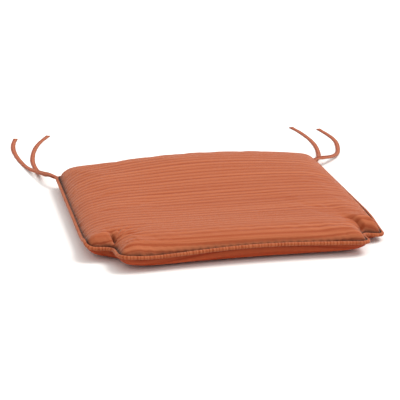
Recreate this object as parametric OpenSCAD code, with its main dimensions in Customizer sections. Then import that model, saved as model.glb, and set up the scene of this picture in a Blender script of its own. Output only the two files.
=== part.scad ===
// Outdoor chair seat pad with a piped seam, notched front corners, rear ties and a rear zip.
// Origin: centre of the underside. +Z up, -Y towards the front edge, and +X to the right as the
// pad is seen from the front; names say left and right from there too. Millimetres.

/* [Pad] */
// Width across the two rear corners, at the seam
rear_w = 468; // [440:2:500]
// Width across the ears, just behind the front notches
ear_w = 480; // [464:2:520]
// Width of the front edge, between the notches
front_w = 398; // [360:2:410]
// Front-to-back depth at the seam
depth = 456; // [420:2:500]
// How far each front notch reaches back
notch_depth = 60; // [50:1:70]
// Height of the seam above the surface the pad rests on
seam_z = 20; // [18:1:24]
// Height of the crowned top above the seam
crown_h = 46; // [44:1:62]
// How far in from the seam the top goes on rising
crown_reach = 150; // [120:5:170]

/* [Cover and filling] */
// Thickness of the cover fabric
fabric_t = 0.9; // [0.6:0.1:1.2]
// Thickness of the wadding over the foam
batting_top_t = 9; // [6:1:12]
// Thickness of the wadding under the foam
batting_bottom_t = 4; // [3:0.5:5]

/* [Piping] */
// Diameter of the finished piping
welt_d = 5.8; // [5.4:0.1:6.4]
// Width of the seam allowance behind the piping
seam_allowance = 12; // [8:1:12]

/* [Ties] */
// Width of each flat tie
tie_w = 8.5; // [6:0.5:10]
// Thickness of each flat tie
tie_t = 1; // [0.8:0.1:1.2]

/* [Zip] */
// Length of the zip chain between the outer faces of its stops
zip_len = 340; // [200:10:340]

/* [Hidden] */
// Corner radii of the seam line: front, inside the notch, ear, rear
front_r = 18;
notch_r = 13;
ear_r = 15;
rear_r = 14;
arc_steps = 4;
// Steps from the seam to the flat middle of every layer, alike so that their facets line up
roll_steps = 9;
// Room left between two soft layers
layer_gap = 0.4;
// The panels are sewn this far in from the middle of the piping, and this far from mid seam
rim_in = 3.2;
rim_up = 0.7;
// How quickly the top levels off, and the roundness and reach of the underside's edge
crown_ease = 5;
bottom_power = 3;
bottom_reach = 22;

half_depth = depth / 2;
welt_r = welt_d / 2;
wrap_t = 0.7;
allowance_t = 0.5;
slit = 0.1;

// The zip lies on a chord of the rear edge, just under the piping
zip_in = 5.9;
zip_z = 10.4;
zip_tilt = 70.9;
tape_t = 0.6;
tape_top = 8.3;
tape_bottom = 6.9;
tape_spare = 8;
coil_in = 0.6;
coil_out = 2;
coil_t = 1.8;
stop_len = 3;
slider_len = 9;
slider_w = 6.6;
plate_in = 1.25;
plate_t = 0.85;
flange_w = 0.6;
flange_h = 0.6;
post_t = 0.5;
bail_w = 1.4;
pivot_out = 3.2;
pin_d = 1.1;
pull_len = 17;
pull_w = 5.6;
slider_x = zip_len / 2 - stop_len - slider_len / 2 - 0.5;

// Both ties of a corner leave the seam together, one over the other, and come to rest behind
tie_rings = 18;
tie_floor = tie_t / 2 + 0.2;
anchor_len = 5;
anchor_t = 3.6;
anchor_z = 18.3;
left_outer_route = [
    [-234, 231, 19.4],
    [-242, 247, 19.4],
    [-252, 272, 15.4],
    [-260, 304, 10],
    [-267, 338, 4.5],
    [-273, 372, 1.4],
    [-278, 410, tie_floor],
    [-281, 448, tie_floor],
    [-281, 486, tie_floor],
    [-277, 522, tie_floor],
    [-269, 557, tie_floor]
];
left_inner_route = [
    [-234, 231, 17.2],
    [-242, 247, 17.2],
    [-248, 272, 12.6],
    [-252, 304, 6.6],
    [-255, 336, 2],
    [-256, 368, tie_floor],
    [-255, 402, tie_floor],
    [-250, 438, tie_floor],
    [-244, 468, tie_floor],
    [-235, 500, tie_floor],
    [-222, 533, tie_floor],
    [-205, 566, tie_floor]
];
right_outer_route = [
    [234, 231, 19.4],
    [242, 247, 19.4],
    [260, 265, 15.4],
    [280, 286, 10],
    [298, 314, 5],
    [311, 345, 1.6],
    [320, 378, tie_floor],
    [326, 410, tie_floor],
    [327, 440, tie_floor],
    [324, 472, tie_floor],
    [318, 506, tie_floor]
];
right_inner_route = [
    [234, 231, 17.2],
    [242, 247, 17.2],
    [251, 272, 12.6],
    [261, 300, 6.8],
    [270, 332, 2],
    [277, 366, tie_floor],
    [281, 400, tie_floor],
    [282, 432, tie_floor],
    [280, 464, tie_floor],
    [276, 497, tie_floor],
    [269, 529, tie_floor]
];

fabric_color = [0.70, 0.37, 0.24];
wadding_color = [0.93, 0.92, 0.89];
foam_color = [0.95, 0.88, 0.66];
filler_color = [0.90, 0.88, 0.82];
tape_color = [0.42, 0.22, 0.15];
coil_color = [0.36, 0.19, 0.13];
metal_color = [0.45, 0.33, 0.26];

// Points of an arc about a centre, both ends included
function arc(centre, r, from, to) = [
    for (i = [0:arc_steps])
        let (angle = from + (to - from) * i / arc_steps)
        centre + r * [cos(angle), sin(angle)]
];

// How a corner's radius changes as the plan is drawn inwards, or outwards past the seam line
function steady(r, inset) = inset < 0 ? r - inset : r;
function wider(r, inset) = r + min(inset, 16);
function tighter(r, inset) = max(r - inset, 2.5);
function rounder(r, inset) = inset < 0 ? r - inset : r + min(inset * 0.4, 44);

// Right half of the plan, inset from the seam line, from the front corner to the rear one
function half_plan(inset) =
    let (
        front_x = front_w / 2 - inset,
        ear_x = ear_w / 2 - inset,
        rear_x = rear_w / 2 - inset,
        front_y = inset - half_depth,
        notch_y = front_y + notch_depth,
        rear_y = half_depth - inset,
        r1 = steady(front_r, inset),
        r2 = wider(notch_r, inset),
        r3 = tighter(ear_r, inset),
        r4 = rounder(rear_r, inset)
    )
    concat(
        arc([front_x - r1, front_y + r1], r1, -90, 0),
        arc([front_x + r2, notch_y - r2], r2, 180, 90),
        arc([ear_x - r3, notch_y + r3], r3, -90, 0),
        arc([rear_x - r4, rear_y - r4], r4, 0, 90)
    );

// Whole plan: the right half, then its mirror image taken backwards
function plan(inset) =
    let (half = half_plan(inset), last = len(half) - 1)
    concat(half, [for (i = [last:-1:0]) [-half[i][0], half[i][1]]]);

// Faces between the neighbouring rings of a stack, numbered ring by ring
function side_faces(rings, count, closed) = [
    for (k = [0:rings - (closed ? 1 : 2)])
        for (i = [0:count - 1])
            let (next = (i + 1) % count, up = (k + 1) % rings)
            [k * count + i, k * count + next, up * count + next, up * count + i]
];

// A section of [inset, height] points carried round the plan.
// An open section runs from the middle of the pad to the rim and back, with a flat at each end.
module carried_round(section, closed = false) {
    rings = [for (p = section) [for (q = plan(p[0])) [q[0], q[1], p[1]]]];
    count = len(rings[0]);
    points = [for (ring = rings) each ring];
    first_cap = [for (i = [count - 1:-1:0]) i];
    last_cap = [for (i = [0:count - 1]) (len(rings) - 1) * count + i];
    caps = closed ? [] : [first_cap, last_cap];
    polyhedron(points, concat(side_faces(len(rings), count, closed), caps), convexity = 12);
}

// The crowned upper surface, moved inwards by depth_in: steep at the rim, then levelling off
function top_roll(depth_in, inward) = [
    for (i = [0:roll_steps])
        let (
            part = pow((inward ? i : roll_steps - i) / roll_steps, 1.6),
            rise = (1 - exp(-crown_ease * part)) / (1 - exp(-crown_ease))
        )
        [
            rim_in + depth_in + (crown_reach - depth_in) * part,
            seam_z + rim_up + (crown_h - rim_up - depth_in) * rise
        ]
];

// The lower surface, moved inwards by depth_in: a quarter of a superellipse down to the flat
function bottom_roll(depth_in, inward) = [
    for (i = [0:roll_steps])
        let (turn = 90 * (inward ? i : roll_steps - i) / roll_steps)
        [
            rim_in + depth_in + (bottom_reach - depth_in / 2) * (1 - pow(cos(turn), 2 / bottom_power)),
            seam_z - rim_up - (seam_z - rim_up - depth_in) * pow(sin(turn), 2 / bottom_power)
        ]
];

module top_layer(outside, inside) {
    carried_round(concat(top_roll(outside, false), top_roll(inside, true)));
}

module bottom_layer(outside, inside) {
    mirror([0, 0, 1])
        carried_round([
            for (p = concat(bottom_roll(outside, false), bottom_roll(inside, true)))
                [p[0], -p[1]]
        ]);
}

// Puts what is drawn in the zip's own frame (x along it, y up it, z into the pad) in place
module at_zip() {
    translate([0, half_depth - zip_in, zip_z])
        rotate([zip_tilt, 0, 0])
            children();
}

// Room cut for the zip, this deep into the pad
module zip_room(into) {
    spare = 0.5;
    at_zip()
        translate([-zip_len / 2 - tape_spare - spare, -tape_bottom - 0.3, -6])
            cube([zip_len + 2 * (tape_spare + spare), tape_bottom + 10, into + 6]);
}

module cover_top() {
    color(fabric_color) top_layer(0, fabric_t);
}

module cover_bottom() {
    color(fabric_color)
        difference() {
            bottom_layer(0, fabric_t);
            zip_room(5);
        }
}

// Each wadding layer lies just inside its cover panel
wadding_in = fabric_t + layer_gap;

module batting_top() {
    color(wadding_color) top_layer(wadding_in, wadding_in + batting_top_t);
}

module batting_bottom() {
    color(wadding_color)
        difference() {
            bottom_layer(wadding_in, wadding_in + batting_bottom_t);
            zip_room(3.5);
        }
}

module foam_core() {
    top_in = wadding_in + batting_top_t + layer_gap;
    bottom_in = wadding_in + batting_bottom_t + layer_gap;
    side_in = top_in - bottom_in;
    lower = [for (p = bottom_roll(bottom_in, true)) [p[0] + side_in, p[1]]];
    color(foam_color)
        carried_round(concat(top_roll(top_in, false), lower));
}

// A strip folded round the filler, its two edges running in between the panels
module welt_wrap() {
    inner_r = welt_r - wrap_t;
    leg = slit + allowance_t;
    lip = asin(leg / welt_r);
    mouth = asin(slit / inner_r);
    outer = [
        for (i = [0:10])
            let (angle = lip + (360 - 2 * lip) * i / 10)
            [welt_r * cos(angle), seam_z + welt_r * sin(angle)]
    ];
    inner = [
        for (i = [8:-1:0])
            let (angle = mouth + (360 - 2 * mouth) * i / 8)
            [inner_r * cos(angle), seam_z + inner_r * sin(angle)]
    ];
    lower_leg = [[seam_allowance, seam_z - leg], [seam_allowance, seam_z - slit]];
    upper_leg = [[seam_allowance, seam_z + slit], [seam_allowance, seam_z + leg]];
    color(fabric_color)
        carried_round(concat(outer, lower_leg, inner, upper_leg), closed = true);
}

module welt_filler() {
    r = welt_r - wrap_t - 0.15;
    color(filler_color)
        carried_round([for (i = [0:7]) [r * cos(45 * i), seam_z + r * sin(45 * i)]],
                      closed = true);
}

// Lapped end of the piping strip, a second thickness over the outer part of the piping
module welt_join() {
    join_x = 208;
    join_len = 24;
    join_t = 0.6;
    color(fabric_color)
        translate([-join_x, half_depth, seam_z])
            rotate([90, 0, 90])
                linear_extrude(join_len)
                    difference() {
                        circle(welt_r + 0.1 + join_t);
                        circle(welt_r + 0.1);
                        translate([-10, -5]) square([9, 10]);
                    }
}

// One woven half of the zip, between these two heights up the zip
module zip_tape(lower_edge, upper_edge) {
    color(tape_color)
        at_zip()
            translate([-zip_len / 2 - tape_spare, lower_edge, -tape_t / 2])
                cube([zip_len + 2 * tape_spare, upper_edge - lower_edge, tape_t]);
}

module zip_tape_upper() {
    zip_tape(coil_out, tape_top);
}

module zip_tape_lower() {
    zip_tape(-tape_bottom, -coil_out);
}

// One coil, the envelope of its teeth, between the two stops
module zip_coil(lower_edge) {
    color(coil_color)
        at_zip()
            translate([-zip_len / 2 + stop_len, lower_edge, -coil_t / 2])
                cube([zip_len - 2 * stop_len, coil_out - coil_in, coil_t]);
}

module zip_coil_upper() {
    zip_coil(coil_in);
}

module zip_coil_lower() {
    zip_coil(-coil_out);
}

module zip_stop(x) {
    stop_w = 2 * coil_out - 0.2;
    color(metal_color)
        at_zip()
            translate([x, -stop_w / 2, -1.2])
                cube([stop_len, stop_w, 2.4]);
}

module zip_stop_open() {
    zip_stop(-zip_len / 2);
}

module zip_stop_closed() {
    zip_stop(zip_len / 2 - stop_len);
}

// Outline of a slider plate, wider where the two coils come in
module slider_plate() {
    waist = slider_w / 2 - 0.5;
    half = slider_len / 2;
    linear_extrude(plate_t)
        polygon([
            [-half, -waist],
            [-0.5, -waist],
            [1, -slider_w / 2],
            [half, -slider_w / 2],
            [half, slider_w / 2],
            [1, slider_w / 2],
            [-0.5, waist],
            [-half, waist]
        ]);
}

// Two plates joined by a post, with flanges that keep the coils in and a bail for the pull
module zip_slider() {
    reach = plate_in + plate_t;
    rail_x = 1;
    bail_foot = 1.2;
    bail_len = 5.6;
    bail_top = pivot_out + 1.7;
    color(metal_color)
        at_zip()
            translate([slider_x, 0, 0]) {
                translate([0, 0, -reach]) slider_plate();
                translate([0, 0, plate_in]) slider_plate();
                translate([1, -post_t / 2, -reach]) cube([3, post_t, 2 * reach]);
                for (side = [-1, 1], face = [-1, 1])
                    translate([
                        (rail_x + slider_len / 2) / 2,
                        side * (slider_w - flange_w) / 2,
                        face * (plate_in - flange_h / 2)
                    ])
                        cube([slider_len / 2 - rail_x, flange_w, flange_h + 0.02], center = true);
                difference() {
                    translate([-bail_len / 2, -bail_w / 2, -bail_top])
                        cube([bail_len, bail_w, bail_top - plate_in - plate_t / 2]);
                    translate([-bail_len / 2 + bail_foot, -bail_w, -bail_top + 0.7])
                        cube([bail_len - 2 * bail_foot, 2 * bail_w, bail_top - 0.7 - reach]);
                }
            }
}

// Flat tab on a loop whose pin turns under the slider's bail
module zip_pull() {
    eye = 4.4;
    root = 4.2;
    color(metal_color)
        at_zip()
            translate([slider_x, 0, -pivot_out]) {
                rotate([90, 0, 0]) cylinder(h = eye, d = pin_d, center = true);
                for (side = [-1, 1])
                    translate([-root - 0.5, side * (eye / 2 - 0.5) - 0.5, -pin_d / 2])
                        cube([root + 0.5, 1, pin_d]);
                translate([0, 0, -pin_d / 2])
                    linear_extrude(pin_d)
                        difference() {
                            union() {
                                translate([-pull_len + pull_w / 2, -pull_w / 2])
                                    square([pull_len - pull_w / 2 - root, pull_w]);
                                translate([-pull_len + pull_w / 2, 0]) circle(d = pull_w);
                            }
                            translate([-pull_len + pull_w / 2, 0]) circle(d = 2.6);
                        }
            }
}

// Folded end of a corner's ties, from the piping out to where the two tails part
module tie_anchor(route) {
    start = route[0];
    run = route[1] - route[0];
    color(fabric_color)
        translate([start[0], start[1], anchor_z])
            rotate([0, 0, atan2(run[1], run[0])])
                translate([-anchor_len, -tie_w / 2, -anchor_t / 2])
                    cube([anchor_len, tie_w, anchor_t]);
}

module tie_anchor_left() {
    tie_anchor(left_outer_route);
}

module tie_anchor_right() {
    tie_anchor(right_outer_route);
}

// A point of the smooth curve through a route, t counted in route points
function on_route(route, t) =
    let (
        last = len(route) - 1,
        i = min(floor(t), last - 1),
        u = t - i,
        a = route[max(i - 1, 0)],
        b = route[i],
        c = route[i + 1],
        d = route[min(i + 2, last)]
    )
    b + u * (c - a) / 2 + u * u * (2 * a - 5 * b + 4 * c - d) / 2
      + u * u * u * (3 * b - a - 3 * c + d) / 2;

// Section of a flat tie: a thin strip with its corners taken off, as [across, up]
tie_section = [
    [tie_w / 2, -tie_t / 4],
    [tie_w / 2, tie_t / 4],
    [tie_w / 2 - tie_t / 3, tie_t / 2],
    [-tie_w / 2 + tie_t / 3, tie_t / 2],
    [-tie_w / 2, tie_t / 4],
    [-tie_w / 2, -tie_t / 4],
    [-tie_w / 2 + tie_t / 3, -tie_t / 2],
    [tie_w / 2 - tie_t / 3, -tie_t / 2]
];

// A flat strip swept along a route, its width kept level
module tie(route) {
    last = len(route) - 1;
    centres = [for (k = [0:tie_rings - 1]) on_route(route, last * k / (tie_rings - 1))];
    runs = [
        for (k = [0:tie_rings - 1])
            k == 0 ? route[1] - route[0]
                   : centres[min(k + 1, tie_rings - 1)] - centres[k - 1]
    ];
    points = [
        for (k = [0:tie_rings - 1])
            let (
                along = runs[k] / norm(runs[k]),
                level = cross(along, [0, 0, 1]),
                across = level / norm(level),
                up = cross(across, along)
            )
            for (p = tie_section) centres[k] + p[0] * across + p[1] * up
    ];
    count = len(tie_section);
    first_cap = [for (i = [count - 1:-1:0]) i];
    last_cap = [for (i = [0:count - 1]) (tie_rings - 1) * count + i];
    color(fabric_color)
        polyhedron(points,
                   concat(side_faces(tie_rings, count, false), [first_cap, last_cap]),
                   convexity = 6);
}

module tie_left_outer() {
    tie(left_outer_route);
}

module tie_left_inner() {
    tie(left_inner_route);
}

module tie_right_outer() {
    tie(right_outer_route);
}

module tie_right_inner() {
    tie(right_inner_route);
}

cover_top();
cover_bottom();
batting_top();
batting_bottom();
foam_core();
welt_wrap();
welt_filler();
welt_join();
zip_tape_upper();
zip_tape_lower();
zip_coil_upper();
zip_coil_lower();
zip_stop_open();
zip_stop_closed();
zip_slider();
zip_pull();
tie_anchor_left();
tie_anchor_right();
tie_left_outer();
tie_left_inner();
tie_right_outer();
tie_right_inner();
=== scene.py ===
"""Looks for the chair seat pad: stuffed cover, piping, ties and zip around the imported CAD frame.

Everything is in metres in the CAD frame: origin at the middle of the underside, +Z up and
-Y towards the front edge, where the two notches are.
"""

import math

import bmesh
import bpy
import numpy as np
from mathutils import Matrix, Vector
from mathutils.geometry import delaunay_2d_cdt
from mathutils.kdtree import KDTree


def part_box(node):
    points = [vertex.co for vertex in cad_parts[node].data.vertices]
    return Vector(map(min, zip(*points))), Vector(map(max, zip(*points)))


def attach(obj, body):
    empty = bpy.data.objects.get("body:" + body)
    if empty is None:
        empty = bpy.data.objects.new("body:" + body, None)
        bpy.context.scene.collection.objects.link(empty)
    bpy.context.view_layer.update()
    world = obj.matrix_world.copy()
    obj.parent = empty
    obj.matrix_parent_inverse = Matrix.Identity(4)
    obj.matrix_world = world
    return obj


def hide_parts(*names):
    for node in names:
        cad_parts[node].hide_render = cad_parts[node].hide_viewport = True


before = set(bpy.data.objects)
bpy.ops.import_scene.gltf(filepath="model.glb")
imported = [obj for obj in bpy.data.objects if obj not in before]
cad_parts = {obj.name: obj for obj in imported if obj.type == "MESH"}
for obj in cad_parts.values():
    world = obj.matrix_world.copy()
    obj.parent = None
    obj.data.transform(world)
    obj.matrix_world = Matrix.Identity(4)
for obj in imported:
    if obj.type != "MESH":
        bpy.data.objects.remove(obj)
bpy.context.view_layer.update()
BODY = "pad"

# ------------------------------------------------------------------ sizes from the CAD frame

WELT_LO, WELT_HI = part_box("welt_wrap")
WELT_R = (WELT_HI[2] - WELT_LO[2]) / 2 + 0.0001
SEAM_Z = (WELT_HI[2] + WELT_LO[2]) / 2
HALF_DEPTH = WELT_HI[1] - WELT_R
EAR_X = WELT_HI[0] - WELT_R
REAR_X = 0.234
FRONT_X = 0.199
NOTCH_Y = -HALF_DEPTH + 0.060
FRONT_R, NOTCH_R, EAR_R, REAR_R = 0.018, 0.017, 0.015, 0.014
FABRIC_T = 0.0009
RIM = 0.0016  # the panels meet the piping this far in from its middle

# ------------------------------------------------------------------ camera


def add_camera():
    """A long lens from the front left, a little above the pad."""
    azimuth, elevation = math.radians(-12.0), math.radians(17.65)
    target = Vector((-0.0157, 0.0476, 0.020))
    distance = 3.02
    back = Vector((
        math.sin(azimuth) * math.cos(elevation),
        -math.cos(azimuth) * math.cos(elevation),
        math.sin(elevation),
    ))
    data = bpy.data.cameras.new("camera")
    data.sensor_width = 36
    data.lens = 162
    camera = bpy.data.objects.new("camera", data)
    bpy.context.scene.collection.objects.link(camera)
    camera.rotation_mode = "QUATERNION"
    camera.location = target + back * distance
    camera.rotation_quaternion = (-back).to_track_quat("-Z", "Y")
    bpy.context.scene.camera = camera


add_camera()

# ------------------------------------------------------------------ mesh helpers


def make_object(name, verts, faces, uvs=None, smooth=True):
    """A mesh object; uvs holds one (u, v) in metres per vertex, in the map 'threads'."""
    mesh = bpy.data.meshes.new(name)
    mesh.from_pydata([tuple(map(float, v)) for v in verts], [], [tuple(map(int, f)) for f in faces])
    mesh.update()
    if uvs is not None:
        layer = mesh.uv_layers.new(name="threads")
        corner = np.empty(len(mesh.loops), dtype=np.int32)
        mesh.loops.foreach_get("vertex_index", corner)
        layer.data.foreach_set("uv", np.asarray(uvs, dtype=np.float32)[corner].ravel())
    mesh.polygons.foreach_set("use_smooth", [smooth] * len(mesh.polygons))
    obj = bpy.data.objects.new(name, mesh)
    bpy.context.scene.collection.objects.link(obj)
    return obj


def finish_piece(obj, material, body=BODY, replaces=()):
    """Material, slot and body of one visible piece."""
    obj.data.materials.clear()
    obj.data.materials.append(material)
    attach(obj, body)
    if replaces:
        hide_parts(*replaces)
    return obj


def baked(obj):
    """Replaces the object's mesh with what its modifiers make of it."""
    graph = bpy.context.evaluated_depsgraph_get()
    mesh = bpy.data.meshes.new_from_object(obj.evaluated_get(graph))
    obj.modifiers.clear()
    old = obj.data
    obj.data = mesh
    mesh.name = old.name
    bpy.data.meshes.remove(old)
    return obj


def facing_out(obj):
    """Turns the faces of a closed mesh outwards."""
    mesh = bmesh.new()
    mesh.from_mesh(obj.data)
    bmesh.ops.recalc_face_normals(mesh, faces=mesh.faces)
    mesh.to_mesh(obj.data)
    mesh.free()
    return obj


def catmull_rom(route, steps):
    """Points of the smooth curve through a route, evenly spaced in route parameter."""
    route = np.asarray(route, dtype=float)
    last = len(route) - 1
    found = []
    for t in np.linspace(0, last, steps):
        i = min(int(t), last - 1)
        u = t - i
        a, b = route[max(i - 1, 0)], route[i]
        c, d = route[i + 1], route[min(i + 2, last)]
        found.append(
            b + u * (c - a) / 2 + u * u * (2 * a - 5 * b + 4 * c - d) / 2
            + u ** 3 * (3 * b - a - 3 * c + d) / 2
        )
    return np.array(found)


def lengths_along(points):
    """Distance along an open line at each of its points."""
    return np.concatenate([[0], np.cumsum(np.linalg.norm(np.diff(points, axis=0), axis=1))])


def sweep(points, section, closed=False, turns=None, scales=None):
    """Sweeps a section of (across, up) points along a line and returns verts, faces and uvs.

    across stays level; turns rolls each section about the line, in radians."""
    points = np.asarray(points, dtype=float)
    count, sides = len(points), len(section)
    if closed:
        along = np.roll(points, -1, axis=0) - np.roll(points, 1, axis=0)
    else:
        along = np.gradient(points, axis=0)
    along /= np.linalg.norm(along, axis=1)[:, None]
    across = np.cross(along, [0, 0, 1])
    across /= np.linalg.norm(across, axis=1)[:, None]
    up = np.cross(across, along)
    if turns is not None:
        c, s = np.cos(turns)[:, None], np.sin(turns)[:, None]
        across, up = across * c + up * s, up * c - across * s
    section = np.asarray(section, dtype=float)
    if scales is None:
        scales = np.ones((count, 2))
    verts = (
        points[:, None, :]
        + across[:, None, :] * (section[None, :, 0:1] * scales[:, None, 0:1])
        + up[:, None, :] * (section[None, :, 1:2] * scales[:, None, 1:2])
    ).reshape(-1, 3)
    faces = []
    for k in range(count if closed else count - 1):
        for i in range(sides):
            j, n = (i + 1) % sides, (k + 1) % count
            faces.append((k * sides + i, k * sides + j, n * sides + j, n * sides + i))
    if not closed:
        faces.append(tuple(range(sides))[::-1])
        faces.append(tuple((count - 1) * sides + i for i in range(sides)))
    around = lengths_along(np.vstack([section, section[:1]]))[:-1]
    length = lengths_along(points)
    uvs = np.stack(np.meshgrid(length, around, indexing="ij"), -1).reshape(-1, 2)
    return verts, faces, uvs


def ring_section(radius, sides):
    """Points of a circle, as a section."""
    return [
        (radius * math.cos(2 * math.pi * i / sides), radius * math.sin(2 * math.pi * i / sides))
        for i in range(sides)
    ]


# ------------------------------------------------------------------ materials


class Nodes:
    """Short calls for building a node tree."""

    def __init__(self, name):
        self.material = bpy.data.materials.new(name)
        self.material.use_nodes = True
        self.tree = self.material.node_tree
        self.shader = self.tree.nodes["Principled BSDF"]

    def add(self, kind, **settings):
        node = self.tree.nodes.new(kind)
        for key, value in settings.items():
            setattr(node, key, value)
        return node

    def link(self, output, target):
        self.tree.links.new(output, target)

    def math(self, operation, a, b=0.0, c=0.0):
        node = self.add("ShaderNodeMath", operation=operation)
        for socket, value in zip(node.inputs, (a, b, c)):
            if isinstance(value, bpy.types.NodeSocket):
                self.link(value, socket)
            else:
                socket.default_value = value
        return node.outputs[0]

    def vector(self, x, y, z=0.0):
        node = self.add("ShaderNodeCombineXYZ")
        for socket, value in zip(node.inputs, (x, y, z)):
            if isinstance(value, bpy.types.NodeSocket):
                self.link(value, socket)
            else:
                socket.default_value = value
        return node.outputs[0]

    def noise(self, vector, scale=1.0, detail=2.0, rough=0.5):
        node = self.add("ShaderNodeTexNoise")
        node.inputs["Scale"].default_value = scale
        node.inputs["Detail"].default_value = detail
        node.inputs["Roughness"].default_value = rough
        self.link(vector, node.inputs["Vector"])
        return node.outputs["Fac"]

    def ramp(self, value, *stops):
        node = self.add("ShaderNodeValToRGB")
        ramp = node.color_ramp
        while len(ramp.elements) < len(stops):
            ramp.elements.new(0.5)
        for element, (position, colour) in zip(ramp.elements, stops):
            element.position = position
            element.color = (*colour, 1.0)
        self.link(value, node.inputs["Fac"])
        return node.outputs["Color"]

    def mix(self, factor, a, b, kind="MIX"):
        node = self.add("ShaderNodeMix", data_type="RGBA", blend_type=kind)
        for socket, value in ((node.inputs[0], factor), (node.inputs[6], a), (node.inputs[7], b)):
            if isinstance(value, bpy.types.NodeSocket):
                self.link(value, socket)
            elif isinstance(value, tuple):
                socket.default_value = (*value, 1.0)
            else:
                socket.default_value = value
        return node.outputs[2]

    def bump(self, height, distance, strength=1.0, normal=None):
        node = self.add("ShaderNodeBump")
        node.inputs["Strength"].default_value = strength
        node.inputs["Distance"].default_value = distance
        self.link(height, node.inputs["Height"])
        if normal is not None:
            self.link(normal, node.inputs["Normal"])
        return node.outputs["Normal"]

    def set(self, **values):
        for key, value in values.items():
            self.shader.inputs[key.replace("_", " ")].default_value = value


LIGHT_THREAD = (0.434, 0.130, 0.052)
DARK_THREAD = (0.266, 0.045, 0.009)


def woven_fabric(name, light=LIGHT_THREAD, dark=DARK_THREAD, contrast=1.0, across=False,
                 pitch=0.0122, wander=3.0, stitch_rows=(), nap=0.21):
    """Slub-striped outdoor fabric. Its stripes run along u, or along v if across is set.

    u and v of the map 'threads' are distances in metres along the two sets of threads.
    pitch is the stripes' spacing in metres, wander is how far they drift, in radians of that
    spacing, and nap is the strength of the sheen."""
    n = Nodes(name)
    uv = n.add("ShaderNodeUVMap", uv_map="threads")
    split = n.add("ShaderNodeSeparateXYZ")
    n.link(uv.outputs["UV"], split.inputs[0])
    run, cross = split.outputs[0], split.outputs[1]
    if across:
        run, cross = cross, run
    # Stripes along the threads: wandering bands, fine ribs and short thick slubs
    place_of_drift = n.vector(n.math("MULTIPLY", run, 0.8), n.math("MULTIPLY", cross, 0.54 / pitch))
    drift = n.math("MULTIPLY", n.noise(place_of_drift, 1, 1), wander)
    phase = n.math("MULTIPLY_ADD", cross, 2 * math.pi / pitch, drift)
    bands = n.math("POWER", n.math("MULTIPLY_ADD", n.math("SINE", phase), 0.5, 0.5), 0.5)
    ribs = n.noise(n.vector(n.math("MULTIPLY", run, 2.5), n.math("MULTIPLY", cross, 380), 3.7), 1, 1)
    slub = n.noise(n.vector(n.math("MULTIPLY", run, 20), n.math("MULTIPLY", cross, 1000), 9.1), 1, 1)
    stripes = n.math("MULTIPLY_ADD", bands, 0.42 * contrast, n.math("MULTIPLY", ribs, 0.8 * contrast))
    stripes = n.math("MULTIPLY_ADD", slub, 0.40, stripes)
    middle = 0.66 * 0.42 * contrast + 0.5 * 0.8 * contrast + 0.5 * 0.40
    colour = n.ramp(n.math("SUBTRACT", stripes, middle - 0.5), (0.18, dark), (0.82, light))
    # Faint unevenness of the dye, and fading where the pad is handled
    place = n.add("ShaderNodeTexCoord").outputs["Object"]
    patches = n.noise(place, 9, 3, 0.6)
    colour = n.mix(n.math("MULTIPLY", patches, 0.14), colour, (0.45, 0.100, 0.036))
    # Weave: threads over and under each other, 0.6 mm apart
    thread = 2 * math.pi / 0.0006
    weft = n.math("SINE", n.math("MULTIPLY", cross, thread))
    warp = n.math("SINE", n.math("MULTIPLY", run, thread))
    weave = n.math("MULTIPLY", weft, warp)
    colour = n.mix(n.math("MULTIPLY_ADD", weave, 0.05, 0.05), colour, (0.16, 0.025, 0.010))
    height = n.math("MULTIPLY_ADD", weave, 0.25, n.math("MULTIPLY", ribs, 2.4))
    height = n.math("MULTIPLY_ADD", bands, 1.2, height)
    height = n.math("ADD", height, n.math("MULTIPLY", slub, 0.7))
    for row in stitch_rows:
        # A row of lockstitch: dashes 2.2 mm long at this distance across the strip
        away = n.math("ABSOLUTE", n.math("SUBTRACT", split.outputs[1], row))
        on_row = n.math("LESS_THAN", away, 0.00028)
        dash = n.math("LESS_THAN", n.math("FRACT", n.math("DIVIDE", split.outputs[0], 0.0030)), 0.74)
        stitch = n.math("MULTIPLY", on_row, dash)
        colour = n.mix(stitch, colour, (0.24, 0.050, 0.022))
        dip = n.math("LESS_THAN", away, 0.0007)
        height = n.math("SUBTRACT", height, n.math("MULTIPLY", dip, 1.2))
        height = n.math("ADD", height, n.math("MULTIPLY", stitch, 2.2))
    # Painted shade: the 'crevice' attribute mixes near-black into the colour beside the piping, on the
    # piping's inner side and in the left notch's slit
    crease_shade = n.add("ShaderNodeAttribute", attribute_name="crevice").outputs["Fac"]
    colour = n.mix(n.math("MULTIPLY", crease_shade, 0.97), colour, (0.020, 0.004, 0.002))
    n.link(colour, n.shader.inputs["Base Color"])
    n.link(n.bump(height, 0.00028, 0.9), n.shader.inputs["Normal"])
    rough = n.math("MULTIPLY_ADD", ribs, 0.12, 0.62)
    n.link(rough, n.shader.inputs["Roughness"])
    n.set(Sheen_Weight=nap, Sheen_Roughness=0.22, Specular_IOR_Level=0.16)
    n.shader.inputs["Sheen Tint"].default_value = (1.0, 0.95, 0.85, 1.0)
    return n.material


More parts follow.
